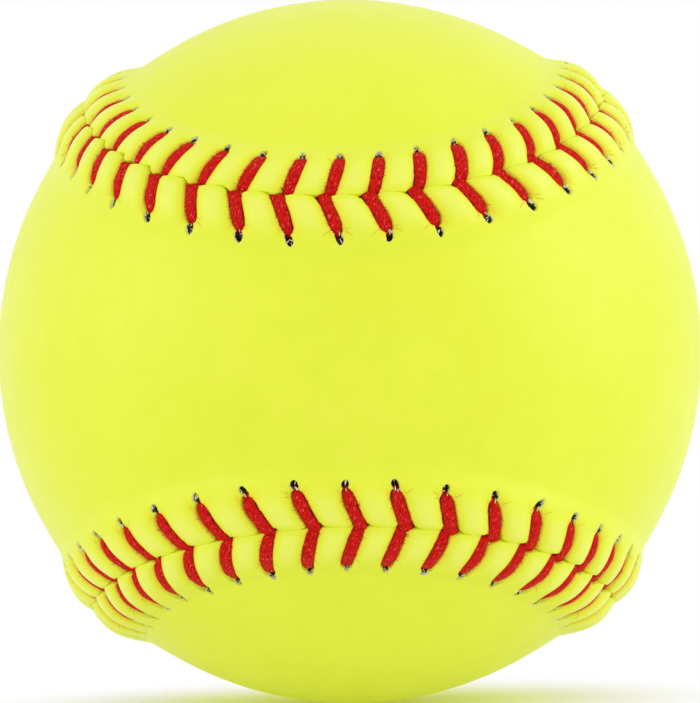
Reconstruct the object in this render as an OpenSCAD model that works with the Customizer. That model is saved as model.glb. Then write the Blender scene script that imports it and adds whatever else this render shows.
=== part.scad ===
// Softball of the 12 inch fastpitch size.
// A moulded core wears a coat of cement. Two figure-eight leather panels wrap it and meet
// along one closed seam, sewn by two threads that cross between the panels at every stitch.
// The origin is the centre of the ball, +Z is up and the front panel's waist faces -Y.

/* [Ball] */
// Girth of the leather away from the seam
ball_girth = 304.8; // [280:0.1:330]
// Thickness of the leather
leather_thick = 1.5; // [1.2:0.05:1.6]
// Thickness of the cement coat on the core
cement_thick = 0.25; // [0.15:0.05:0.5]
// Slack between one layer and the next
layer_gap = 0.05; // [0.03:0.01:0.1]

/* [Seam] */
// How far the seam swings from side to side, as a share
swing_share = 0.286; // [0.27:0.001:0.3]
// How full the ends of the panels are, as a share
fullness_share = 0.02; // [0:0.005:0.03]
// Gap between the edges of the two panels
seam_gap = 0.1; // [0.06:0.01:0.2]
// Stitches round the cover, an even number
stitches = 88; // [84:2:92]
// Distance from the seam to the needle holes
hole_out = 6.2; // [5.9:0.1:6.5]
// Width of a needle hole
hole_w = 1.5; // [1.4:0.05:1.6]
// Height of the puffed leather above the ball
puff_rise = 1.8; // [1.7:0.05:1.9]
// Radius of the puffed leather between two stitches
puff_r = 5.4; // [5.2:0.1:5.8]
// Distance from the seam to the crown of a puff
puff_out = 3.2; // [3.1:0.05:3.3]
// Length of a puff's crown, across the seam
puff_long = 2.4; // [2.2:0.1:2.6]
// Radius of the hollow under a puff
hollow_r = 7; // [6.8:0.1:7.4]
// Distance from the seam to the middle of the hollow under a puff
hollow_out = 2.6; // [2.5:0.05:2.8]

/* [Thread] */
// Width of a thread where it lies flat on the leather
thread_w = 1.75; // [1.6:0.05:1.85]
// Thickness of a thread where it lies flat on the leather
thread_thick = 0.95; // [0.85:0.05:1.05]
// Diameter of a thread in the tunnel under the leather
run_d = 0.8; // [0.7:0.05:0.85]
// Radius of the arc that a leg makes over the leather
leg_bow = 12; // [11:0.5:14]
// Lift of a leg's crown off the groove between two puffs
leg_lift = 0.32; // [0.3:0.01:0.36]
// Distance from the seam to where a thread dips between the panels
dip_out = 0.6; // [0.55:0.05:0.7]
// Lean of the front panel's stitches along the seam
front_lean = 2.4; // [2.2:0.05:2.6]
// Lean of the back panel's stitches along the seam
back_lean = 1; // [0.8:0.05:1.1]
// Distance past the seam to where a thread has crossed under it
cross_out = 1.6; // [1.5:0.05:1.8]
// Lift of a thread in the tunnel off what lies below
run_lift = 0.12; // [0.1:0.01:0.15]
// Diameter of the knot at a thread's end
knot_d = 1.4; // [1.2:0.1:1.5]

/* [Hidden] */
$fn = 96;
ball_r = ball_girth / (2 * PI);
cover_in_r = ball_r - leather_thick;
cement_r = cover_in_r - layer_gap;
core_r = cement_r - cement_thick - layer_gap;
puff_core_r = ball_r + puff_rise - puff_r;
hollow_core_r = ball_r + puff_rise - leather_thick - hollow_r;
tunnel_r = cover_in_r + run_lift + run_d / 2;
// The cuts reach past the leather by this much
overrun = 2;

// The seam as a closed curve of directions, with its length in fine steps
seam_steps = 132;
cap_share = 1.2;
way_step = 0.05;
table_step = 0.5;
function unit(v) = v / norm(v);
function seam_dir(turn) = let(
    fair = 1 - swing_share,
    deep = 2 * sqrt(fair * swing_share),
    side = fair * sin(turn) + swing_share * sin(3 * turn) + fullness_share * sin(5 * turn),
    high = fair * cos(turn) - swing_share * cos(3 * turn) + fullness_share * cos(5 * turn))
    unit([-side, -deep * cos(2 * turn), high]);
function seam_way(turn) = unit(seam_dir(turn + way_step) - seam_dir(turn - way_step));
function chord(turn, step) = ball_r * norm(seam_dir(turn + step) - seam_dir(turn));
seam_table = [for (turn = 0, along = 0; turn <= 360; along = along + chord(turn, table_step),
    turn = turn + table_step) [along, turn]];
seam_len = seam_table[len(seam_table) - 1][0];
pitch = seam_len / stitches;

// A place on the ball: along the seam, out from it to the front panel's side, up from the centre
function aside(turn, out, r) = let(
    here = seam_dir(turn),
    away = cross(here, seam_way(turn)),
    arc = out / ball_r * 180 / PI)
    r * (cos(arc) * here + sin(arc) * away);
function wrapped(along) = along - seam_len * floor(along / seam_len);
function turn_at(along) = lookup(wrapped(along), seam_table);
function place(along, out, r) = aside(turn_at(along), out, r);

// One stitch leg: an arc over the puffed leather, from its needle hole to its dip at the seam.
// A side of 1 is the front panel and -1 the back panel.
groove = sqrt(puff_r * puff_r - pow(pitch / 2 - thread_w / 4, 2));
crown_r = puff_core_r + groove + leg_lift + thread_thick / 2;
function lean(side) = side > 0 ? front_lean : back_lean;
function hole_dir(k, side) = place(k * pitch, side * hole_out, 1);
function dip_dir(k, side) = place(k * pitch + lean(side), side * dip_out, 1);
function leg_up(k, side) = unit(hole_dir(k, side) + dip_dir(k, side));
function leg_way(k, side) = unit(dip_dir(k, side) - hole_dir(k, side));
function leg_half(k, side) = asin(ball_r * norm(dip_dir(k, side) - hole_dir(k, side)) / 2 / leg_bow);
function leg_point(k, side, share) = let(arc = share * leg_half(k, side))
    (crown_r - leg_bow + leg_bow * cos(arc)) * leg_up(k, side) + leg_bow * sin(arc) * leg_way(k, side);

module ball(r) {
    sphere(r = r, $fn = 160);
}

// How far along the seam the stitches have leaned at this distance out from it
function leaned_by(side, out) = lean(side) * (hole_out - out) / (hole_out - dip_out);
module puff_balls(side, out, core_r, r) {
    for (k = [0:stitches - 1])
        translate(place((k + 0.5) * pitch + leaned_by(side, out), side * out, core_r))
            sphere(r = r, $fn = 48);
}

// The cone from the centre through the front panel's outline, closed outside the ball. Strips run
// across the panel from its upper edge over the middle to its lower edge.
module panel_cone() {
    strips = seam_steps / 2;
    step = 360 / seam_steps;
    tip_turn = -90;
    cap_r = (ball_r + puff_rise) * cap_share;
    upper = [for (j = [0:strips - 1]) aside(tip_turn + (j + 0.5) * step, seam_gap / 2, cap_r)];
    middle = [for (p = upper) cap_r * unit([p.x, p.y, 0])];
    lower = [for (p = upper) [p.x, p.y, -p.z]];
    row = strips;
    low_row = row + row;
    end = strips - 1;
    cap = [for (j = [1:end], q = [0, row]) each [
        [j + 1 + q, j + q, j + row + q], [j + 1 + row + q, j + 1 + q, j + row + q]]];
    walls = [for (j = [1:end]) each [[0, j, j + 1], [0, j + 1 + low_row, j + low_row]]];
    tips = [for (q = [0, row]) each [[0, 1 + row + q, 1 + q], [0, 1 + end + q, 1 + end + row + q]]];
    polyhedron(concat([[0, 0, 0]], upper, middle, lower), concat(cap, walls, tips));
}

// One thread, as its places in order from the knot at its start to the knot at its end. At each
// stitch it comes up through a needle hole, lies over the leather, dips at the seam and runs on
// under the other panel to the next hole there. Each place is [point, seam direction, half width,
// half thickness].
thread_sides = 6;
leg_shares = [-1, -0.35, 0.35, 1];
leg_end_share = 0.7;
knot_bends = [-65, -25, 25, 65];
knot_share = 0.25;
run_r = run_d / 2;
function foot(p) = tunnel_r * unit(p);
function crossing(k, side) = place(k * pitch + lean(side), -side * cross_out, tunnel_r);
function hole_foot(k, side) = foot(leg_point(k, side, -1));
function leg_width(share) = thread_w / 2 * (abs(share) < 1 ? 1 : leg_end_share);
function stitch_places(k, side) = let(way = seam_way(turn_at(k * pitch))) [
    [hole_foot(k, side), way, run_r, run_r],
    for (share = leg_shares) [leg_point(k, side, share), way, leg_width(share), thread_thick / 2],
    [foot(leg_point(k, side, 1)), way, run_r, run_r],
    if (side < 0) [crossing(k, side), way, run_r, run_r]];
function side_of(k, first_side) = k % 2 == 0 ? first_side : -first_side;
function knot_places(from, to, way) = let(ahead = unit(to - from), r = knot_d / 2) [
    for (bend = knot_bends) [from + r * sin(bend) * ahead, way, r * cos(bend), r * cos(bend)]];
function thread_places(first_side) = let(
    last = stitches - 1,
    last_side = side_of(last, first_side),
    way = seam_way(0),
    start = foot(hole_foot(0, first_side) * (1 - knot_share) + crossing(-1, -first_side) * knot_share),
    end = foot(crossing(last, last_side) * (1 - knot_share) + hole_foot(stitches, -last_side) * knot_share))
    concat(
        knot_places(start, hole_foot(0, first_side), way),
        [for (k = [0:last]) each stitch_places(k, side_of(k, first_side))],
        knot_places(end, hole_foot(stitches, -last_side), way));
function ring(before, here, after, way, half_w, half_thick) = let(
    coming = unit(here - before),
    ahead = unit(coming + unit(after - here)),
    across = unit(way - (way * ahead) * ahead),
    up = cross(across, ahead) / (ahead * coming))
    [for (j = [0:thread_sides - 1]) let(arc = 360 * j / thread_sides)
        here + half_w * cos(arc) * across + half_thick * sin(arc) * up];

module thread(first_side) {
    spots = thread_places(first_side);
    last = len(spots) - 1;
    function at(i) = i < 0 ? 2 * spots[0][0] - spots[1][0]
        : i > last ? 2 * spots[last][0] - spots[last - 1][0] : spots[i][0];
    points = [for (i = [0:last]) each
        ring(at(i - 1), at(i), at(i + 1), spots[i][1], spots[i][2], spots[i][3])];
    n = thread_sides;
    skin = [for (i = [0:last - 1], j = [0:n - 1]) let(next = (j + 1) % n) each [
        [i * n + j, i * n + next, (i + 1) * n + next],
        [i * n + j, (i + 1) * n + next, (i + 1) * n + j]]];
    start = [for (j = [1:n - 2]) [0, j + 1, j]];
    end = [for (j = [1:n - 2]) [last * n, last * n + j, last * n + j + 1]];
    polyhedron(points, concat(skin, start, end));
}

// What the leather loses to one stitch: its needle hole and the notch in the panel's edge
module stitch_holes(k, side) {
    way = seam_way(turn_at(k * pitch));
    for (end = [-1, 1]) {
        ahead = unit(leg_point(k, side, end));
        across = unit(way - (way * ahead) * ahead);
        out = cross(ahead, across);
        foot = (cover_in_r - overrun) * ahead;
        multmatrix([
            [across.x, out.x, ahead.x, foot.x],
            [across.y, out.y, ahead.y, foot.y],
            [across.z, out.z, ahead.z, foot.z]])
            translate([-hole_w / 2, -hole_w / 2, 0])
                cube([hole_w, hole_w, leather_thick + puff_rise + 2 * overrun]);
    }
}

module panel(side) {
    difference() {
        intersection() {
            union() {
                ball(ball_r);
                for (end = [-1, 1])
                    puff_balls(side, puff_out + end * puff_long / 2, puff_core_r, puff_r);
            }
            rotate(side > 0 ? 0 : 180, [1, 0, 1])
                panel_cone();
        }
        ball(cover_in_r);
        puff_balls(side, hollow_out, hollow_core_r, hollow_r);
        for (k = [0:stitches - 1])
            stitch_holes(k, side);
    }
}

module core() {
    color("gainsboro")
        ball(core_r);
}

module cement_coat() {
    color("tan")
        difference() {
            ball(cement_r);
            ball(cement_r - cement_thick);
        }
}

module front_cover_panel() {
    color("greenyellow")
        panel(1);
}

module back_cover_panel() {
    color("greenyellow")
        panel(-1);
}

module first_thread() {
    color("firebrick")
        thread(1);
}

module second_thread() {
    color("crimson")
        thread(-1);
}

core();
cement_coat();
front_cover_panel();
back_cover_panel();
first_thread();
second_thread();
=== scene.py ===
import math

import bpy
import numpy as np
from mathutils import Matrix


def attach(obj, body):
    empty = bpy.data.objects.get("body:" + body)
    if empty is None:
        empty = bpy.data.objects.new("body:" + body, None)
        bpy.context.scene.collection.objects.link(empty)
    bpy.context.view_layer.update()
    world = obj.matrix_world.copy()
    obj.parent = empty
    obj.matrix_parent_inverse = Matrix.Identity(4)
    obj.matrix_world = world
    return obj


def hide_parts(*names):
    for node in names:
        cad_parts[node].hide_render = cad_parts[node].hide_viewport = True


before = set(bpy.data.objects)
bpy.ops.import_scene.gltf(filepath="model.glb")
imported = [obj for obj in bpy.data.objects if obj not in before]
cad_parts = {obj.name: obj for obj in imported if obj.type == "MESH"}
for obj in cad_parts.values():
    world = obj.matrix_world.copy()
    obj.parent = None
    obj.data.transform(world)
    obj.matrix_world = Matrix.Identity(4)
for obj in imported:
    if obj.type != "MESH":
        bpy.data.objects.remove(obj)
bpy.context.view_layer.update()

MM = 0.001


# The core is one ball of polyurethane foam, moulded in two halves, with a smooth closed skin. The
# cover hides it, and its CAD solid stays as it is.
class Wire:
    """An output of a material's node. Arithmetic on wires and numbers adds Math nodes."""

    def __init__(self, finish, socket):
        self.finish, self.socket = finish, socket

    def maths(self, operation, *values):
        """A Math node on these values, or on this wire alone where none are given."""
        return self.finish.node("ShaderNodeMath", {"operation": operation},
                                dict(enumerate(values or (self,))))

    def __add__(self, other):
        return self.maths("ADD", self, other)

    __radd__ = __add__

    def __sub__(self, other):
        return self.maths("SUBTRACT", self, other)

    def __rsub__(self, other):
        return self.maths("SUBTRACT", other, self)

    def __mul__(self, other):
        return self.maths("MULTIPLY", self, other)

    __rmul__ = __mul__

    def __truediv__(self, other):
        return self.maths("DIVIDE", self, other)

    def __pow__(self, other):
        return self.maths("POWER", self, other)

    def size(self):
        return self.maths("ABSOLUTE")

    def rise(self, start, end):
        """0 below start, 1 above end and a smooth step between them."""
        return self.finish.node("ShaderNodeMapRange", {"interpolation_type": "SMOOTHSTEP"},
                                {"Value": self, "From Min": start, "From Max": end})


class Finish:
    """The nodes of a new material or world. node() adds every one of them."""

    def __init__(self, holder):
        self.holder = holder
        holder.use_nodes = True
        self.tree = holder.node_tree
        self.tree.nodes.clear()

    def node(self, kind, settings=None, inputs=None, output=0):
        """Adds a node of this type, with its settings and then a value or a wire per input."""
        made = self.tree.nodes.new(kind)
        for name, value in (settings or {}).items():
            setattr(made, name, value)
        for name, value in (inputs or {}).items():
            if isinstance(value, Wire):
                self.tree.links.new(value.socket, made.inputs[name])
            else:
                made.inputs[name].default_value = value
        return Wire(self, made.outputs[output]) if made.outputs else None

    def place(self):
        return self.node("ShaderNodeTexCoord", output="Object")

    def two_parts(self, vector):
        """The first two numbers of a vector."""
        first = self.node("ShaderNodeSeparateXYZ", {}, {0: vector})
        return first, Wire(self, first.socket.node.outputs[1])

    def on_map(self, name):
        """The two numbers of the piece's own UV map of this name."""
        return self.two_parts(self.node("ShaderNodeUVMap", {"uv_map": name}))

    def noise(self, cell, detail=2.0, at=None):
        """Cloudy noise from 0 to 1, with clouds about cell millimetres wide."""
        return self.node("ShaderNodeTexNoise", {}, {
            "Vector": at or self.place(), "Scale": 1 / (cell * MM), "Detail": detail})

    def colours(self, share, first, second):
        """The first colour where share is 0 and the second where it is 1."""
        first, second = ((*c, 1) if isinstance(c, tuple) else c for c in (first, second))
        return self.node("ShaderNodeMix", {"data_type": "RGBA"}, {0: share, 6: first, 7: second}, 2)

    def surface(self, colour, roughness, height, depth, fixed=None):
        """Ends the material: its height, from 0 to 1, stands depth millimetres high as bump."""
        bump = self.node("ShaderNodeBump", {}, {"Distance": depth * MM, "Height": height})
        shader = self.node("ShaderNodeBsdfPrincipled", {}, {
            "Base Color": colour, "Roughness": roughness, "Normal": bump, **(fixed or {})})
        self.node("ShaderNodeOutputMaterial", {}, {"Surface": shader})
        return self.holder


def dress(piece, material):
    """Gives a piece or a CAD node its material."""
    if not piece.material_slots:
        piece.data.materials.append(material)
    for slot in piece.material_slots:
        slot.material = material


new_material = bpy.data.materials.new
foam_light, foam_dark = (0.84, 0.81, 0.72), (0.72, 0.68, 0.57)
foam_cell, foam_relief = 0.7, 0.08
foam = Finish(new_material("core_foam"))
foam_grain = foam.noise(foam_cell, 3)
dress(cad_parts["core"], foam.surface(
    foam.colours(foam_grain.rise(0.35, 0.7), foam_light, foam_dark),
    0.55 + 0.25 * foam_grain, foam_grain, foam_relief))


# The cement is brushed on the core and dries to a thin, tacky rubber coat that holds the leather
# down. Only its CAD solid is needed, since the cover hides it.
cement_light, cement_dark = (0.76, 0.64, 0.42), (0.55, 0.42, 0.22)
stroke_long, stroke_wide, stroke_relief = 9.0, 0.8, 0.05
cement = Finish(new_material("cement"))
strokes = cement.noise(stroke_wide, 4, cement.node("ShaderNodeMapping", {}, {
    "Vector": cement.place(), "Scale": (1, stroke_wide / stroke_long, 1)}))
dress(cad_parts["cement_coat"], cement.surface(
    cement.colours(strokes.rise(0.3, 0.7), cement_light, cement_dark),
    0.35 + 0.3 * strokes, strokes, stroke_relief))


# The cover is two figure-eight panels of dyed cowhide, split to an even thickness and punched with
# needle holes. They are soaked, stretched over the core and sewn edge to edge, so that the leather
# puffs up between the stitches and the thread sinks into it.
girth, leather_thick = 304.8, 1.5
ball_r = girth / (2 * math.pi)
cover_in_r = ball_r - leather_thick
swing, fullness = 0.286, 0.02
stitches = 88
hole_out = 6.2
hole_deep, hole_wall = 1.5, (0.72, 1.06)
lip_high, lip_at, lip_half = 0.05, 1.35, 0.25
puff_rise, puff_out, puff_reach, puff_bend, seam_dip = 1.87, 2.6, 5.8, 1.35, 0.42
swell_rise, swell_start, swell_end = 0.36, 3.0, 12.0
valley, valley_bend, valley_pull = 1.56, 2.4, 0.5
valley_ends = {1: (4.0, 6.9), -1: (4.4, 7.8)}
plain_leather = 8, 12
leather_under_puff = 2.05
edge_roll, edge_out, edge_bend, roll_by_puff = 0.20, 0.9, 2.4, 0.25
bed_gap, bed_deep, bed_tight, thinnest = 0.03, 0.46, 0.02, 0.3
sides = (1, -1)


def seam_direction(turn):
    """Unit vectors of the seam's closed curve: two sine waves that swing over the ball, with a
    third that fills the ends of the panels."""
    fair = 1 - swing
    side = fair * np.sin(turn) + swing * np.sin(3 * turn) + fullness * np.sin(5 * turn)
    high = fair * np.cos(turn) - swing * np.cos(3 * turn) + fullness * np.cos(5 * turn)
    made = np.stack([-side, -2 * math.sqrt(fair * swing) * np.cos(2 * turn), high], -1)
    return made / np.linalg.norm(made, axis=-1, keepdims=True)


seam_points = 7201
seam_turns = np.linspace(0, 2 * math.pi, seam_points)
seam_steps = np.linalg.norm(np.diff(seam_direction(seam_turns), axis=0), axis=1)
seam_along = ball_r * np.concatenate([[0], np.cumsum(seam_steps)])
seam_length = seam_along[-1]
pitch = seam_length / stitches


def unit(v):
    return v / np.linalg.norm(v, axis=-1, keepdims=True)


def seam_frame(along):
    """The seam's place and its direction at these lengths along it, as unit vectors."""
    turn = np.interp(along % seam_length, seam_along, seam_turns)
    here = seam_direction(turn)
    return here, unit(seam_direction(turn + 1e-3) - seam_direction(turn - 1e-3))


def on_ball(along, out, r):
    """Points at a length along the seam, an arc out from it to the front panel's side, and a
    distance from the ball's centre."""
    here, way = seam_frame(along)
    arc = (out / ball_r)[..., None]
    return r[..., None] * (np.cos(arc) * here + np.sin(arc) * np.cross(here, way))


def smooth(start, end, value):
    """0 before start, 1 after end and a smooth step between them."""
    share = np.clip((value - start) / (end - start), 0, 1)
    return share * share * (3 - 2 * share)


def puff_height(out):
    """Height of the seam's ridge over the ball: x^2 down from the crest at puff_out to a low dip at
    the seam, and (1 - x^2)^puff_bend down to a slight swell that fades into the ball's surface."""
    falling = np.clip((out - puff_out) / puff_reach, 0, 1)
    dip = np.clip((puff_out - out) / puff_out, 0, 1)
    swell = swell_rise * (1 - smooth(swell_start, swell_end, out))
    return puff_rise * (1 - falling**2) ** puff_bend + swell - seam_dip * dip**2


# The stitches drift along the seam, lean, stretch and sink by slow waves round the ball, and each
# differs from the next a little, as the sewer's pull does. The waves are fitted to the stitches
# that the photograph shows. The front panel's side is 1 and the back panel's is -1.
dice = np.random.default_rng(88)
numbers = np.arange(stitches)
round_ball = 2 * math.pi * numbers / stitches
drift = 1.7 * np.sin(4 * round_ball) ** 3 - 0.6 * np.cos(round_ball)
low_seam, by_waist = (1 - np.cos(round_ball)) / 2, np.sin(4 * round_ball)
high_middle = (1 - low_seam) * np.clip(np.cos(4 * round_ball - 0.6), 0, 1)
leg_stretch = {1: 0.85 - 0.02 * np.cos(round_ball) + 0.06 * high_middle
               + dice.normal(0, 0.012, stitches),
               -1: 1.12 - 0.10 * np.cos(round_ball)
               + 0.13 * low_seam * np.clip(-1.6 * by_waist, 0, 1) + dice.normal(0, 0.02, stitches)}
hole_shift = {1: drift + dice.normal(0, 0.06, stitches),
              -1: drift - 0.3 + low_seam * (0.45 + 0.8 * by_waist) + dice.normal(0, 0.08, stitches)}
leg_lean = {1: 2.2 - low_seam * np.clip(-by_waist, 0, 1) + dice.normal(0, 0.1, stitches),
            -1: 1.6 - low_seam * by_waist - 0.65 * by_waist**3 + dice.normal(0, 0.14, stitches)}
lean_bend = {1: 1.45, -1: 1.25}
usual_half_w = 0.925
leg_half_w = {side: usual_half_w * (1 + dice.normal(0, 0.04, stitches)) for side in sides}
leg_end = {1: 6.00, -1: 5.72}
hole_at = {side: leg_end[side] * leg_stretch[side] + gap + dice.normal(0, 0.05, stitches)
           for side, gap in ((1, 0.66), (-1, 0.30))}
hole_half_l = {side: half + dice.normal(0, 0.06, stitches)
               for side, half in ((1, 0.78), (-1, 0.64))}
hole_half_w = {side: half + dice.normal(0, 0.03, stitches)
               for side, half in ((1, 0.43), (-1, 0.46))}
hole_tilt = {side: dice.normal(0, 0.18, stitches) for side in sides}
puff_share = {side: 1 + dice.normal(0, 0.09, stitches) for side in sides}
tight_bend = ((1 - np.cos(4 * round_ball)) / 2) ** 1.5
depth_fade = 1.6, 2.4
leg_depth = {1: (0.14 + 0.26 * (1 - low_seam) * np.clip(-by_waist, 0, 1)) * tight_bend,
             -1: 0.12 * tight_bend}


def leg_offset(side, number, out):
    """How far along the seam a leg lies from its stitch's own place: its hole's shift, and a lean
    that grows towards the seam as (1 - out/hole_out)^bend. It fades where the leather is plain."""
    lean = leg_lean[side][number] * np.clip(1 - out / hole_out, 0, 1.1) ** lean_bend[side]
    return (hole_shift[side][number] + lean) * (1 - smooth(*plain_leather, out))


# How deep a leg's middle lies under the ridge's crest, and its half width and half thickness, from
# its needle hole to the seam. The front panel's leg ends on top of the back panel's.
leg_plan = {
    1: np.array([
        (6.00, 2.90, 0.36, 0.36), (5.98, 2.40, 0.38, 0.38), (5.93, 1.95, 0.42, 0.40),
        (5.83, 1.62, 0.50, 0.42), (5.66, 1.38, 0.60, 0.44), (5.38, 1.22, 0.73, 0.45),
        (5.00, 1.11, 0.85, 0.47), (4.40, 1.00, 0.92, 0.48), (3.40, 0.93, 0.93, 0.48),
        (2.40, 0.92, 0.93, 0.48), (1.50, 0.98, 0.96, 0.48), (0.90, 1.02, 1.00, 0.47),
        (0.45, 1.08, 1.09, 0.45), (0.12, 1.18, 1.16, 0.42), (-0.10, 1.40, 1.18, 0.36),
        (-0.20, 1.80, 1.00, 0.32), (-0.22, 2.30, 0.65, 0.34), (-0.23, 3.00, 0.40, 0.38)]),
    -1: np.array([
        (5.72, 2.90, 0.38, 0.36), (5.70, 2.40, 0.44, 0.38), (5.66, 1.80, 0.54, 0.40),
        (5.58, 1.40, 0.68, 0.42), (5.44, 1.16, 0.82, 0.44), (5.20, 1.05, 0.90, 0.46),
        (4.80, 1.00, 0.93, 0.47), (4.20, 0.96, 0.93, 0.48), (3.40, 0.93, 0.93, 0.48),
        (2.40, 0.94, 0.93, 0.48), (1.60, 1.00, 0.90, 0.48), (1.00, 1.07, 0.86, 0.47),
        (0.64, 1.16, 0.82, 0.45), (0.38, 1.32, 0.78, 0.42), (0.22, 1.62, 0.72, 0.36),
        (0.16, 2.05, 0.62, 0.32), (0.14, 2.50, 0.50, 0.34), (0.13, 3.00, 0.40, 0.38)])}

# The rows of a panel's outer side, out from the seam, with where they begin and where they cease to
# follow the needle holes, and its columns between two stitches.
rows = np.array([
    0.01, 0.01, 0.05, 0.12, 0.22, 0.37, 0.56, 0.80, 1.05, 1.35, 1.70, 2.10, 2.50, 2.95, 3.40, 3.85,
    4.30, 4.65, 4.92, 5.12, 5.28, 5.42, 5.55, 5.68, 5.81, 5.94, 6.07, 6.20, 6.33, 6.46, 6.59, 6.72,
    6.85, 6.98, 7.18, 7.50, 8.00, 8.70, 9.60, 10.7, 12.0])
rows_follow, rows_cease = (1.5, 5.0), (7.4, 11.5)
near_leg = np.array([0, 0.15, 0.30, 0.44, 0.60, 0.78, 0.88, 0.97, 1.12, 1.40, 1.82, 2.35])
columns = np.concatenate([near_leg, [pitch / 2], pitch - near_leg[:0:-1]])
inner_rows = np.array([12, 9.6, 8, 6.6, 5.2, 3.8, 2.4, 1.0])
tiny = 1e-6
middle_steps = np.linspace(0, 1, 8)[1:]
middle_azimuth = math.radians(103)
sag_count, sag_high = 7, 0.022
sag_waves = dice.normal(0, 1, (sag_count, 3))
sag_waves *= (dice.uniform(0.1, 0.25, sag_count) / np.linalg.norm(sag_waves, axis=1))[:, None]
sag_phases = dice.uniform(0, 2 * math.pi, sag_count)

# The crease between the panels is drawn a little out of the seam's course at every stitch. Lengths
# along it here are shares of the way from one stitch to the next.
step_reach, step_share, step_at = (0.30, 0.70), 0.06, 0.20
notch_reach, notch_more, notch_before, notch_after = 0.60, 0.08, 0.12, 0.20
bow_reach, bow_back = 0.18, 0.50
lean_out = 2.2
stitch_spots = numbers * pitch + (leg_offset(1, numbers, 0.0) + leg_offset(-1, numbers, 0.0)) / 2
spots_round = np.concatenate([
    stitch_spots[-1:] - seam_length, stitch_spots, stitch_spots[:1] + seam_length])


def crease_lean(along):
    """How far the crease lies to the front of the seam's course. It is a saw tooth, so that it
    leans evenly from one stitch to the next and steps back there, with a half sine wave as a bow,
    less a straight notch that leads it to the back at each stitch."""
    at = along - np.floor((along - spots_round[0]) / seam_length) * seam_length
    phase = np.interp(at, spots_round, np.arange(-1, stitches + 1))
    share = phase - np.floor(phase)
    low = (1 - np.cos(2 * math.pi * phase / stitches)) / 2
    slant = np.sin(8 * math.pi * phase / stitches)
    saw = (share - step_at * (1 - low)) % 1
    step = np.clip(np.minimum(saw, 1 - saw) / step_share, 0, 1)
    lean = np.where(slant > 0, step_reach[1], step_reach[0]) * slant * (2 * saw - 1) * step
    bow = low * (bow_reach * np.sin(math.pi * share) - bow_back * np.clip(-slant, 0, 1))
    notch = np.clip(1 - np.minimum(share / notch_after, (1 - share) / notch_before), 0, 1)
    return lean + bow - (notch_reach + notch_more * (1 - low)) * notch


def lean_edge(side, along, out):
    """The signed distance from the seam's course, near which the crease's lean is added as
    (1 - out/lean_out)^2."""
    return side * out + crease_lean(along) * np.clip(1 - out / lean_out, 0, 1) ** 2


def pulled_in(side, number, sink):
    """A leg's depth, with what is added to it where the seam bends most round the ball."""
    return sink + leg_depth[side][number] * (1 - smooth(*depth_fade, sink))


def row_at(side, number, out):
    """The rows of a panel, moved so that the fine ones lie at the stitch's own needle hole."""
    move = hole_at[side][number] - hole_out
    return out + move * smooth(*rows_follow, out) * (1 - smooth(*rows_cease, out))


def sag(points):
    """Slow unevenness of the ball under the leather: the sum of some sine waves over space."""
    return sag_high * np.sin(points @ sag_waves.T + sag_phases).sum(-1)


def inner_height(out):
    """Radius of the leather's inner side, which lifts off the core under the ridge."""
    return np.maximum(cover_in_r, ball_r + puff_height(out) - leather_under_puff)


def leather_height(side, number, across, mid, out):
    """Radius of the leather's outer side. It is the ridge's height, less the valley between two
    puffs, which is x^valley_bend from a puff's middle, less the bed of the leg at across 0, which
    is half an ellipse, the roll of the edge and the pit of the needle hole."""
    plan = leg_plan[side][::-1]
    crest = ball_r + puff_height(out)
    to_leg = mid / (pitch / 2)
    drop = valley * puff_share[side][number] * (1 + valley_pull * leg_depth[side][number])
    drop = drop * to_leg**valley_bend * (1 - smooth(*valley_ends[side], out))
    on_plan = out / leg_stretch[side][number]
    sink = pulled_in(side, number, np.interp(on_plan, plan[:, 0], plan[:, 1]))
    half = np.interp(on_plan, plan[:, 0], plan[:, 2]) * leg_half_w[side][number] / usual_half_w
    half = half - bed_tight
    bed = sink + bed_gap + bed_deep * np.sqrt(np.clip(1 - (across / half) ** 2, 0, 1))
    under = (np.abs(across) < half) & (on_plan < plan[-1, 0])
    drop = np.where(under, np.maximum(drop, bed), drop)
    roll = edge_roll * (roll_by_puff + (1 - roll_by_puff) * to_leg**2)
    drop = drop + roll * np.clip(1 - out / edge_out, 0, 1) ** edge_bend
    pit = hole_reach(side, number, across, out)
    lip = lip_high * np.exp(-(((pit - lip_at) / lip_half) ** 2))
    drop = drop + hole_deep * (1 - smooth(*hole_wall, pit)) - lip
    return np.maximum(crest - drop, inner_height(out) + thinnest)


def hole_reach(side, number, across, out):
    """Distance from a needle hole's middle, as a share of the slot's half sizes."""
    off = out - hole_at[side][number]
    slid = across - hole_tilt[side][number] * off
    return np.hypot(slid / hole_half_w[side][number], off / hole_half_l[side][number])


def middle_of(points, side):
    """The line that runs down the middle of a panel: the points' azimuths on the panel's mirror
    plane, held at the middles of its two round ends. Also says which points are held."""
    seen = points if side > 0 else points[:, [2, 1, 0]] * (1, -1, 1)
    azimuth = np.arctan2(seen[:, 0], -seen[:, 1])
    held = np.clip(azimuth, -middle_azimuth, middle_azimuth)
    made = np.stack([np.sin(held), -np.cos(held), np.zeros(len(held))], 1)
    return (made if side > 0 else made[:, [2, 1, 0]] * (1, -1, 1)), azimuth - held


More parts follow.
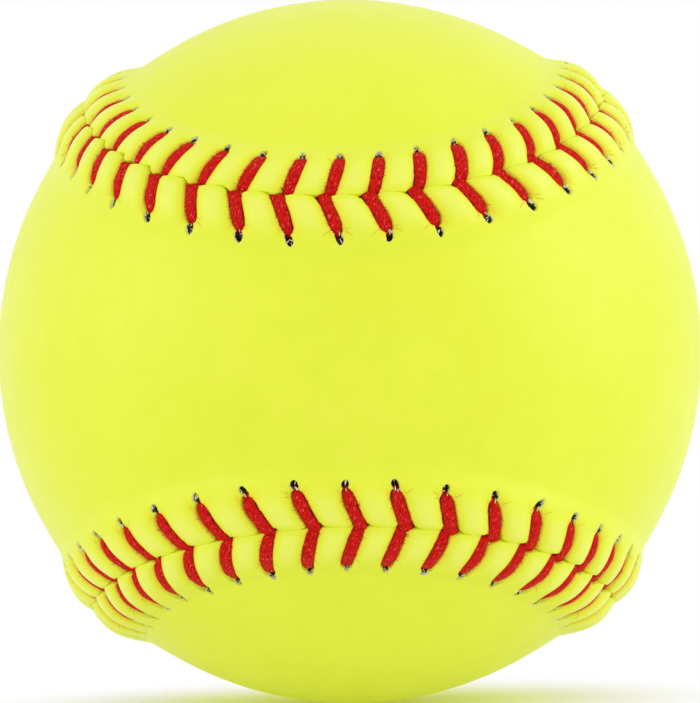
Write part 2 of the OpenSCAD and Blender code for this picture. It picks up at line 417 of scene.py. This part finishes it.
def band(ring, other):
    """Faces between two closed rings of vertex numbers: quads, or triangles where one ring has
    twice as many. A quad whose ring has met itself becomes a triangle."""
    a, b, c, d = ring, np.roll(ring, -1), np.roll(other, -1), other
    if len(ring) == 2 * len(other):
        a, m, b = ring[::2], ring[1::2], np.roll(ring[::2], -1)
        return [np.stack(f, 1) for f in ((a, m, d), (m, c, d), (m, b, c))]
    if len(other) == 2 * len(ring):
        d, m, c = other[::2], other[1::2], np.roll(other[::2], -1)
        return [np.stack(f, 1) for f in ((a, m, d), (a, b, m), (b, c, m))]
    low, high = a == b, c == d
    return [np.stack(f, 1)[keep] for f, keep in (
        ((a, b, c, d), ~low & ~high), ((a, c, d), low), ((a, b, c), high))]


def make_piece(name, points, faces, maps=None):
    """A mesh object from points in millimetres and lists of faces. Each UV map has an array of
    corners for each list of faces."""
    corners = np.concatenate([f.ravel() for f in faces])
    sizes = np.concatenate([np.full(len(f), f.shape[1]) for f in faces])
    used, corners = np.unique(corners, return_inverse=True)
    mesh = bpy.data.meshes.new(name)
    mesh.vertices.add(len(used))
    mesh.vertices.foreach_set("co", (points[used] * MM).astype(np.float32).ravel())
    mesh.loops.add(len(corners))
    mesh.loops.foreach_set("vertex_index", corners.astype(np.int32))
    mesh.polygons.add(len(sizes))
    mesh.polygons.foreach_set("loop_start", (np.cumsum(sizes) - sizes).astype(np.int32))
    for label, arrays in (maps or {}).items():
        layer = mesh.uv_layers.new(name=label)
        flat = np.concatenate([a.reshape(-1, 2) for a in arrays])
        layer.uv.foreach_set("vector", flat.astype(np.float32).ravel())
    mesh.update(calc_edges=True)
    mesh.validate()
    mesh.shade_smooth()
    piece = bpy.data.objects.new(name, mesh)
    bpy.context.scene.collection.objects.link(piece)
    return piece


def cover_panel(name, side):
    """A closed shell: rings of points that run from the middle of the inner side to the seam, over
    the edge, and out to the middle of the outer side. The columns lean with the stitch legs, in a
    straight mix of the leg before and the leg after."""
    number, after = numbers[:, None, None], (numbers[:, None, None] + 1) % stitches
    to_next = (columns / pitch)[None, :, None]
    out = (1 - to_next) * row_at(side, number, rows) + to_next * row_at(side, after, rows)
    offset = (1 - to_next) * leg_offset(side, number, out) + to_next * leg_offset(side, after, out)
    along = number * pitch + columns[None, :, None] + offset
    first_half = to_next <= 0.5
    across = np.where(first_half, columns[None, :, None], columns[None, :, None] - pitch) + 0 * out
    mid = np.abs(columns[None, :, None] - pitch / 2) + 0 * out
    nearest = np.where(first_half, number, after)
    height = leather_height(side, nearest, across, mid, out)
    height[..., 0] = inner_height(rows[0])
    full = on_ball(along, lean_edge(side, along, out), height)
    full = full + unit(full) * sag(full)[..., None]
    count = stitches * len(columns)
    out_of = out.reshape(count, len(rows))
    outer = [full[:, :, j].reshape(count, 3) for j in range(len(rows))]
    # The rings have every column near the seam, every second at the edge's inner side, and every
    # fourth further off.
    coarse_along = (numbers[:, None] * pitch + columns[None, ::4]).ravel()
    last = outer[-1][::4]
    middle, slid = middle_of(last, side)
    grown = [unit(unit(last) * (1 - s) + middle * s) for s in middle_steps]
    top = [g * (ball_r + sag(g * ball_r))[:, None] for g in grown]
    inner = [g * cover_in_r for g in grown[::-2]]
    low = [on_ball(coarse_along, side * o + 0 * coarse_along, inner_height(o) + 0 * coarse_along)
           for o in inner_rows]
    rings = inner + low + [outer[0][::2]] + outer + [outer[-1][::2]] + top
    starts = np.cumsum([0] + [len(r) for r in rings])
    marks = [start + np.arange(len(r)) for start, r in zip(starts, rings)]
    # The two ends of each ring's mirror pair, and all that is held at a round end, become one.
    around = np.arange(len(last))
    meet = np.minimum(around, ((len(last) // 2 if side > 0 else 0) - around) % len(last))
    for end in (slid > tiny, slid < -tiny):
        meet[end] = np.flatnonzero(end)[0]
    marks[0], marks[-1] = marks[0][meet], marks[-1][meet]
    # The half ring that only leads to a finer one has the finer one's own vertices.
    edge_at, last_at = len(inner) + len(low), len(rings) - len(top) - 1
    marks[edge_at] = marks[edge_at + 1][::2]
    marks[last_at] = marks[last_at - 1][::2]
    faces, plain, holes = [], [], []
    # The maps measure from the nearest leg: along and out from the seam in millimetres, and in half
    # sizes of its needle hole. Off the fine rows they hold values far from both.
    far_off = 20.0
    own_leg = columns < pitch / 2 - tiny
    corner_across = np.stack([columns, np.append(columns[1:], pitch)])
    corner_across = np.where(own_leg, corner_across, corner_across - pitch)
    left, right = (np.tile(c, stitches) for c in corner_across)
    before = np.repeat(numbers, len(columns))
    owner = np.where(np.tile(own_leg, stitches), before, (before + 1) % stitches)
    for i, (ring, other) in enumerate(zip(marks[:-1], marks[1:])):
        if i in (edge_at, last_at - 1):
            continue
        for f in band(ring, other):
            row = i - edge_at - 1
            if 0 <= row < len(rows) - 1 and len(f) == count:
                c = np.stack([left, right, right, left], 1)
                low_o, high_o = out_of[:, row], out_of[:, row + 1]
                o = np.stack([low_o, np.roll(low_o, -1), np.roll(high_o, -1), high_o], 1)
                tilt, half_w, half_l = (
                    sizes[side][owner][:, None] for sizes in (hole_tilt, hole_half_w, hole_half_l))
                off = o - hole_at[side][owner][:, None]
                slot_c, slot_o = (c - tilt * off) / half_w, off / half_l
            else:
                c, o = np.zeros(f.shape), np.full(f.shape, far_off)
                slot_c, slot_o = o, o
            faces.append(f[:, ::side])
            plain.append(np.stack([c, o], -1)[:, ::side])
            holes.append(np.stack([slot_c, slot_o], -1)[:, ::side])
    piece = make_piece(name, np.concatenate(rings), faces, {"stitch": plain, "slot": holes})
    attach(piece, "root")
    return piece


front_cover = cover_panel("front_cover_leather", 1)
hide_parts("front_cover_panel")
back_cover = cover_panel("back_cover_leather", -1)
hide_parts("back_cover_panel")

yellow, yellow_deep = (0.80, 0.88, 0.030), (0.775, 0.86, 0.020)
yellow_crease_shade, yellow_dye_and_red_bounce = (0.42, 0.36, 0.006), (0.86, 0.60, 0.012)
yellow_valley_shade, yellow_crest_highlight = (0.80, 0.80, 0.006), (0.85, 0.90, 0.13)
raw_leather, hole_shade_colour = (0.90, 0.88, 0.68), (0.028, 0.018, 0.006)
ragged_share, far_wall_share = 0.24, 0.15
pebble, pore, mottle, cloud, leather_relief = 0.45, 0.16, 3.0, 16.0, 0.045
wrinkle_half, wrinkled_patch = 0.09, 5.0
tear, raw_patch, wander_cell, leg_side = 0.25, 0.8, 0.9, 0.95
leather = Finish(new_material("optic_yellow_leather"))
across, out = leather.on_map("stitch")
slot_across, slot_out = leather.on_map("slot")
ragged = leather.noise(tear, 3)
slot = (slot_across * slot_across + slot_out * slot_out) ** 0.5 + ragged_share * (ragged - 0.5)
# The near-black inside each needle hole is painted shade of the pit, moved towards the hole's far
# wall.
far_wall = slot_out.rise(0.35, 0.95)
raw = (1 - slot.rise(1.05, 1.12)) * leather.noise(raw_patch, 1).rise(0.37, 0.56)
hole_shade = 1 - (slot + far_wall_share * far_wall).rise(0.97, 1.04)
wander = leather.noise(wander_cell, 2)
# Fine wrinkles start beside the outer end of a leg. Each has its start across and out, its angle
# in degrees and its length.
wrinkle_lines = [(0.90, 4.95, 35, 1.8), (-0.90, 5.00, 140, 1.3), (-0.92, 4.55, 160, 0.9)]
wrinkles = 0
for start_c, start_o, angle, length in wrinkle_lines:
    cos, sin = math.cos(math.radians(angle)), math.sin(math.radians(angle))
    c, o = across - start_c + 0.3 * (wander - 0.5), out - start_o + 0.2 * (ragged - 0.5)
    reach, side_step = c * cos + o * sin, (c * sin - o * cos).size()
    fading = reach.rise(0, 0.15) * (1 - reach.rise(0.4 * length, length))
    wrinkles = (1 - side_step.rise(0.0, wrinkle_half)) * fading + wrinkles
wrinkles = wrinkles * leather.noise(wrinkled_patch, 0).rise(0.46, 0.60)
near_stitch = 1 - across.size().rise(1.0, 2.0)
crease = (1 - out.rise(0.02, 0.14)) * near_stitch
# The orange band along each leg's edge is partly dye from the red thread and partly painted red
# light reflected off the thread.
by_leg = (1 - (across.size() - leg_side).size().rise(0.02, 0.30)) * (1 - out.rise(5.0, 5.8))
# The deeper, richer yellow in the valleys beside each leg is painted shade.
valley_shade = (1 - across.size().rise(0.9, 2.1)) * (1 - out.rise(4.8, 7.0))
# Paler yellow on each puff's crest, between the legs, is a painted highlight; the same mask also
# makes the crest a little smoother.
rubbed_crest_and_highlight = across.size().rise(1.1, 2.6) * (1 - out.rise(2.8, 6.2)) * out.rise(0.2, 1.4)
grain = leather.node("ShaderNodeTexVoronoi", {"feature": "SMOOTH_F1"}, {
    "Vector": leather.place(), "Scale": 1 / (pebble * MM), "Smoothness": 0.6})
fine = leather.noise(pore, 3)
tone = leather.noise(cloud, 2) * 0.6 + leather.noise(mottle, 2) * 0.4
dyed = leather.colours(tone.rise(0.35, 0.65), yellow, yellow_deep)
dyed = leather.colours(0.7 * rubbed_crest_and_highlight, dyed, yellow_crest_highlight)
dyed = leather.colours(0.8 * valley_shade, dyed, yellow_valley_shade)
dyed = leather.colours(0.65 * by_leg, dyed, yellow_dye_and_red_bounce)
# The olive darkening in the fine wrinkles and along the crease between the panels is painted shade.
dyed = leather.colours(0.55 * wrinkles + 0.65 * crease, dyed, yellow_crease_shade)
dyed = leather.colours(raw, dyed, raw_leather)
dyed = leather.colours(hole_shade, dyed, hole_shade_colour)
leather_skin = leather.surface(
    dyed, 0.33 + 0.14 * tone + 0.4 * raw - 0.06 * rubbed_crest_and_highlight,
    0.55 + 0.14 * grain + 0.10 * fine - 0.9 * wrinkles, leather_relief, {"Specular IOR Level": 0.5})
for cover in (front_cover, back_cover):
    dress(cover, leather_skin)


# The cover is sewn with two needles. Each waxed thread of red cotton comes up through a hole, lies
# flat over the leather to the seam, dips between the panels and runs under the other one to its
# next hole, so that the two threads take turns and make a V at every stitch.
tube_sides = 24
leg_rings, run_rings = 34, 6
tunnel_r, tunnel_half = 47.6, 0.38
tip_slide, tip_deep, tip_out = 0.15, (1.3, 2.4), 2
knot_half, knot_r, knot_rings = 0.6, 0.65, 5
knot_before, knot_after = 1.1, 0.6
ply_count, ply_pitch, ply_depth = 4, 3.4, 0.05
squareness, thread_uneven, uneven_fast, uneven_slow = 0.8, 0.035, 1.9, 0.71
curve_steps = 12


def fair_curve(knots, count):
    """Points evenly spaced along a Catmull-Rom curve through the knots."""
    ends = np.concatenate([[2 * knots[0] - knots[1]], knots, [2 * knots[-1] - knots[-2]]])
    t = np.linspace(0, 1, curve_steps, endpoint=False)[:, None, None]
    p0, p1, p2, p3 = ends[:-3], ends[1:-2], ends[2:-1], ends[3:]
    fine = 0.5 * (2 * p1 + (p2 - p0) * t + (2 * p0 - 5 * p1 + 4 * p2 - p3) * t**2
                  + (3 * p1 - p0 - 3 * p2 + p3) * t**3)
    fine = np.concatenate([fine.transpose(1, 0, 2).reshape(-1, knots.shape[1]), knots[-1:]])
    length = np.concatenate([[0], np.cumsum(np.linalg.norm(np.diff(fine[:, :2], axis=0), axis=1))])
    wanted = np.linspace(0, length[-1], count)
    return np.stack([np.interp(wanted, length, column) for column in fine.T], 1)


def thread(name, first_side):
    """A tube along one thread. Each ring is a flat oval, |cos|^squareness by |sin|^squareness,
    whose long axis follows the seam's direction. Low ridges of twisted plies wind round it."""
    spots, sizes = [], []
    for k in numbers:
        side = first_side if k % 2 == 0 else -first_side
        plan = fair_curve(leg_plan[side], leg_rings)
        out, sink, half_w, half_t = plan.T
        out = out * leg_stretch[side][k]
        half_w = half_w * leg_half_w[side][k] / usual_half_w
        along = k * pitch + leg_offset(side, k, out)
        along = along + tip_slide * side * smooth(*tip_deep, sink) * (out < tip_out)
        r = ball_r + puff_height(np.abs(out)) - pulled_in(side, k, sink)
        after = (k + 1) % stitches
        share = np.arange(1, run_rings + 1) / (run_rings + 1)
        next_out = leg_plan[-side][0, 0] * leg_stretch[-side][after]
        next_along = (k + 1) * pitch + leg_offset(-side, after, next_out)
        run_along = along[-1] + (next_along - along[-1]) * share
        run_out = side * out[-1] + (-side * next_out - side * out[-1]) * share
        spots.append(np.stack([np.r_[along, run_along], np.r_[lean_edge(side, along, out), run_out],
                               np.r_[r, np.full(run_rings, tunnel_r)]], 1))
        run_half = np.full(run_rings, tunnel_half)
        sizes.append(np.stack([np.r_[half_w, run_half], np.r_[half_t, run_half]], 1))
    # The last run is cut in half, and a round knot closes each end.
    spots = np.concatenate(spots)[:-run_rings // 2]
    sizes = np.concatenate(sizes)[:-run_rings // 2]
    knot = np.linspace(-1, 1, knot_rings + 2)[1:-1, None]
    swell = knot_r * np.sqrt(1 - knot**2) * (1, 1)
    first, final = spots[0] - (knot_before, 0, 0), spots[-1] + (knot_after, 0, 0)
    knot = knot * (knot_half, 0, 0)
    spots = np.concatenate([first + knot, spots, final + knot])
    sizes = np.concatenate([swell, sizes, swell])
    centre = on_ball(spots[:, 0], spots[:, 1], spots[:, 2])
    ahead = unit(np.gradient(centre, axis=0))
    way = seam_frame(spots[:, 0])[1]
    across = unit(way - (way * ahead).sum(-1, keepdims=True) * ahead)
    up = np.cross(across, ahead)
    length = np.concatenate([[0], np.cumsum(np.linalg.norm(np.diff(centre, axis=0), axis=1))])
    arc = 2 * math.pi * np.arange(tube_sides) / tube_sides
    wide, high = (np.sign(wave) * np.abs(wave) ** squareness for wave in (np.cos(arc), np.sin(arc)))
    twist = 2 * math.pi * length[:, None] / ply_pitch
    plies = 1 - ply_depth * (1 - np.cos(ply_count * arc + twist))
    slow_wave = 2 * np.sin(uneven_slow * length)
    uneven = 1 + thread_uneven * np.sin(uneven_fast * length + slow_wave)
    points = centre[:, None] + plies[..., None] * (
        (sizes[:, 0] * uneven)[:, None, None] * wide[:, None] * across[:, None]
        + sizes[:, 1][:, None, None] * high[:, None] * up[:, None])
    ring = np.arange(len(centre) * tube_sides).reshape(len(centre), tube_sides)
    a, b = ring[:-1], np.roll(ring[:-1], -1, 1)
    c, d = np.roll(ring[1:], -1, 1), ring[1:]
    skin = np.stack([a, b, c, d], -1).reshape(-1, 4)
    turn = np.arange(tube_sides) / tube_sides
    next_turn = turn + 1 / tube_sides
    turns = np.stack([turn, next_turn, next_turn, turn], -1) + 0 * a[..., None]
    lengths = np.stack([length[:-1]] * 2 + [length[1:]] * 2, -1)[:, None] + 0 * turns
    strand = np.stack([turns, lengths], -1).reshape(-1, 4, 2)
    caps = np.stack([ring[0][::-1], ring[-1]])
    piece = make_piece(name, points.reshape(-1, 3), [skin, caps],
                       {"strand": [strand, np.zeros((2, tube_sides, 2))]})
    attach(piece, "root")
    return piece


first_stitching = thread("first_stitching", 1)
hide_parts("first_thread")
second_stitching = thread("second_stitching", -1)
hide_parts("second_thread")

red, red_groove_shade, red_painted_glint = (0.76, 0.009, 0.006), (0.32, 0.002, 0.002), (0.95, 0.34, 0.28)
red_flank_shade = (0.14, 0.004, 0.001)
strand_count, strand_pitch = 14, 1.1
fibre_wide, fibre_long, fibre_slant, round_thread = 0.11, 0.60, 0.28, 4.4
fray_cell, wander_cell, worn_patch, thread_relief = 0.22, 0.9, 0.6, 0.07
wax = Finish(new_material("waxed_red_thread"))
turned, length = wax.on_map("strand")
fray, wander = wax.noise(fray_cell, 3), wax.noise(wander_cell, 1)
on_fibre = wax.node("ShaderNodeCombineXYZ", {}, {
    0: (turned * round_thread + length * fibre_slant + 0.5 * wander) * MM,
    1: length * (fibre_wide / fibre_long * MM)})
fibres = wax.noise(fibre_wide, 2, on_fibre)
winding = turned * strand_count + length / strand_pitch + 1.0 * fray + 1.5 * wander
yarns = (winding * (2 * math.pi)).maths("SINE") * 0.5 + 0.5
plies = (turned * ply_count + length / ply_pitch) * (2 * math.pi)
plies = plies.maths("COSINE") * 0.5 + 0.5
patch = wax.noise(worn_patch, 2)
# The deeper red in the grooves between the yarns and between the fibres is painted shade.
thread_red = wax.colours((1 - yarns).rise(0.4, 1.0) * 0.6, red, red_groove_shade)
thread_red = wax.colours((1 - fibres).rise(0.48, 0.62) * 0.85, thread_red, red_groove_shade)
# Pale pink flecks on the fibres' crests are painted glints of the wax.
thread_red = wax.colours(fibres.rise(0.64, 0.69) * 0.6, thread_red, red_painted_glint)
# The dark red along the thread's two flanks, where it meets the leather, is painted shade.
flank_shade = (turned * (2 * math.pi)).maths("COSINE").size()
thread_red = wax.colours(flank_shade.rise(0.88, 0.99) * 0.75, thread_red, red_flank_shade)
thread_skin = wax.surface(
    thread_red, 0.50 - 0.20 * patch.rise(0.4, 0.7) + 0.12 * fray,
    0.4 * yarns + 0.3 * plies + 0.5 * fibres, thread_relief, {"Specular IOR Level": 0.07})
for sewn in (first_stitching, second_stitching):
    dress(sewn, thread_skin)


# The punch leaves a ragged rim of undyed leather round each needle hole. Small shreds of it reach
# in over the slot.
shreds_per_hole, shred_rings = 3, 4
shred_inward, shred_half, shred_taper = (0.4, 1.0), (0.05, 0.12), (1, 0.9, 0.7, 0.3)
shred_deep, shred_lift = (0.15, 0.6), (-0.2, 0.15)


def thin_tubes(name, paths, radii):
    """Three-sided tubes along many short paths at once: paths is tubes by rings by 3, and radii
    is tubes by rings. Each ring is turned square to its path, and flat caps close the ends."""
    ahead = unit(np.gradient(paths, axis=1))
    across = unit(np.cross(ahead, unit(paths)))
    up = np.cross(across, ahead)
    arc = 2 * math.pi * np.arange(3) / 3
    points = paths[:, :, None] + radii[:, :, None, None] * (
        np.cos(arc)[:, None] * across[:, :, None] + np.sin(arc)[:, None] * up[:, :, None])
    mark = np.arange(points[..., 0].size).reshape(points.shape[:3])
    a, b = mark[:, :-1], np.roll(mark[:, :-1], -1, 2)
    c, d = np.roll(mark[:, 1:], -1, 2), mark[:, 1:]
    skin = np.stack([a, b, c, d], -1).reshape(-1, 4)
    caps = np.concatenate([mark[:, 0, ::-1], mark[:, -1]])
    return make_piece(name, points.reshape(-1, 3), [skin, caps])


tubes = []
for side in sides:
    shape = (stitches, shreds_per_hole, 1)
    angle = dice.uniform(0, 2 * math.pi, shape)
    reach = 1 - dice.uniform(*shred_inward, shape) * np.linspace(0, 1, shred_rings)
    off = hole_half_l[side][:, None, None] * np.sin(angle) * reach
    c = hole_half_w[side][:, None, None] * np.cos(angle) * reach
    c = c + hole_tilt[side][:, None, None] * off
    out = hole_at[side][:, None, None] + off
    depth = dice.uniform(*shred_deep, shape)
    depth = depth - dice.uniform(*shred_lift, shape) * np.linspace(0, 1, shred_rings)
    along = (numbers * pitch)[:, None, None] + leg_offset(side, numbers[:, None, None], out) + c
    r = ball_r + puff_height(out) - depth
    tubes.append(on_ball(along, side * out, r).reshape(-1, shred_rings, 3))
tubes = np.concatenate(tubes)
thin = dice.uniform(*shred_half, (len(tubes), 1)) * np.array(shred_taper)
hole_shreds = thin_tubes("hole_shreds", tubes, thin)
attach(hole_shreds, "root")
shred_light, shred_shade = (0.92, 0.90, 0.80), (0.66, 0.62, 0.46)
suede_nap, suede_relief = 0.12, 0.02
suede = Finish(new_material("raw_leather"))
nap = suede.noise(suede_nap, 3)
dress(hole_shreds, suede.surface(
    suede.colours(nap, shred_light, shred_shade), 0.75 + 0.2 * nap, nap, suede_relief))


# Short ends of cotton fibre stand out of the thread where it was pulled past the leather's edges.
hairs_per_leg, hair_rings = 10, 3
hair_root_across, hair_root_up, hair_root_out = 0.86, 0.2, (0.7, 5.0)
hair_long, hair_lean, hair_end_up = (0.2, 0.5), (-1.0, 1.0), (0.35, 0.5)
hair_half, hair_taper = (0.03, 0.05), (1, 0.8, 0.35)
tubes = []
for side in sides:
    shape = (stitches, hairs_per_leg, 1)
    step = np.linspace(0, 1, hair_rings)
    root_out = dice.uniform(*hair_root_out, shape) * leg_stretch[side][:, None, None]
    length, lean = dice.uniform(*hair_long, shape), dice.uniform(*hair_lean, shape)
    across = hair_root_across + length * np.cos(lean) * step
    across = np.sign(dice.uniform(-1, 1, shape)) * across
    out = root_out + length * np.sin(lean) * step
    plan = leg_plan[side][::-1]
    deep = np.interp(root_out, plan[:, 0], plan[:, 1]) + leg_depth[side][:, None, None]
    deep = deep - hair_root_up
    along = (numbers * pitch)[:, None, None] + leg_offset(side, numbers[:, None, None], out)
    along = along + across
    r = ball_r + puff_height(out) - deep + (deep - dice.uniform(*hair_end_up, shape)) * step
    tubes.append(on_ball(along, side * out, r).reshape(-1, hair_rings, 3))
tubes = np.concatenate(tubes)
thin = dice.uniform(*hair_half, (len(tubes), 1)) * np.array(hair_taper)
thread_hairs = thin_tubes("thread_hairs", tubes, thin)
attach(thread_hairs, "root")
hair_red, hair_pale = (0.62, 0.02, 0.02), (0.85, 0.22, 0.16)
hair_cell, hair_relief = 0.3, 0.01
fluff = Finish(new_material("cotton_hairs"))
nap = fluff.noise(hair_cell, 2)
dress(thread_hairs, fluff.surface(
    fluff.colours(nap.rise(0.4, 0.7), hair_red, hair_pale), 0.6 + 0.2 * nap, nap, hair_relief))


# The ball lies on a plain pale light table, in front of white. Near the ball the table takes its
# soft shadow, and further off it is as white as the backdrop.
floor_z, floor_half = -ball_r, 4000.0
corner = floor_half * np.array([(-1, -1), (1, -1), (1, 1), (-1, 1)])
floor = make_piece("floor", np.column_stack([corner, np.full(4, floor_z)]),
                   [np.array([[0, 1, 2, 3]])])
paper = Finish(new_material("pale_floor"))
floor_x, floor_y = paper.two_parts(paper.place())
far = (floor_x**2 + floor_y**2) ** 0.5


def sees_white(finish):
    """1 for a ray from the camera, off a gloss or through glass, and 0 for one that lights."""
    rays = finish.node("ShaderNodeLightPath").socket.node.outputs
    white_rays = "Is Camera Ray", "Is Glossy Ray", "Is Transmission Ray"
    seen, glossy, through = (Wire(finish, rays[ray]) for ray in white_rays)
    return seen + glossy + through


sheet_grey = 0.93, 0.93, 0.93, 1
sheet = paper.node("ShaderNodeBsdfDiffuse", {}, {"Color": sheet_grey})
glow = paper.node("ShaderNodeEmission", {}, {"Color": (1, 1, 1, 1), "Strength": 1.0})
lit_through, shadow_end, white_start = 0.45, 0.02, 0.06
blend = paper.node("ShaderNodeMixShader", {}, {
    0: lit_through + sees_white(paper) * (far.rise(shadow_end, white_start) - lit_through),
    1: sheet, 2: glow})
paper.node("ShaderNodeOutputMaterial", {}, {"Surface": blend})
dress(floor, paper.holder)

# Soft studio light: white all round, and a large soft box a little above the ball on each side, the
# stronger one on the right.
room_light = 0.91
room = Finish(bpy.data.worlds.new("studio"))
backdrop = room.node("ShaderNodeBackground", {}, {
    "Color": (1, 1, 1, 1), "Strength": room_light + (1 - room_light) * sees_white(room)})
room.node("ShaderNodeOutputWorld", {}, {"Surface": backdrop})
bpy.context.scene.world = room.holder


def soft_box(name, place, size, watts):
    """A square area lamp that faces the ball's centre."""
    lamp = bpy.data.lights.new(name, "AREA")
    lamp.size, lamp.energy = size, watts
    made = bpy.data.objects.new(name, lamp)
    towards = -np.array(place) / np.linalg.norm(place)
    side = unit(np.cross(towards, (0, 0, 1)))
    up = np.cross(side, towards)
    axes = np.column_stack([side, up, -towards, place])
    made.matrix_world = Matrix(np.vstack([axes, (0, 0, 0, 1)]))
    bpy.context.scene.collection.objects.link(made)


soft_box("left_box", (-1.3, -0.5, 0.4), 1.2, 3.4)
soft_box("right_box", (1.35, -0.15, 0.5), 1.2, 5.0)

# The camera looks at the ball from the photograph's side, from 29 radii away. The photograph's
# ball is turned by three small angles, which the camera makes up for.
camera_radii = 28.86
ball_pixels, photo_wide = 351.9, 700
turned_by = Matrix.Identity(4)
for angle, axis in ((-2.21, "Z"), (-1.07, "Y"), (1.70, "X")):
    turned_by = turned_by @ Matrix.Rotation(math.radians(angle), 4, axis)
lens = bpy.data.cameras.new("camera")
lens.sensor_width = 36
lens.sensor_fit = "HORIZONTAL"
lens.lens = ball_pixels * math.sqrt(camera_radii**2 - 1) * lens.sensor_width / photo_wide
camera = bpy.data.objects.new("camera", lens)
place = Matrix.Translation((0, -camera_radii * ball_r * MM, 0))
camera.matrix_world = turned_by.inverted() @ place @ Matrix.Rotation(math.pi / 2, 4, "X")
bpy.context.scene.collection.objects.link(camera)
bpy.context.scene.camera = camera
bpy.context.scene.view_settings.view_transform = "Standard"
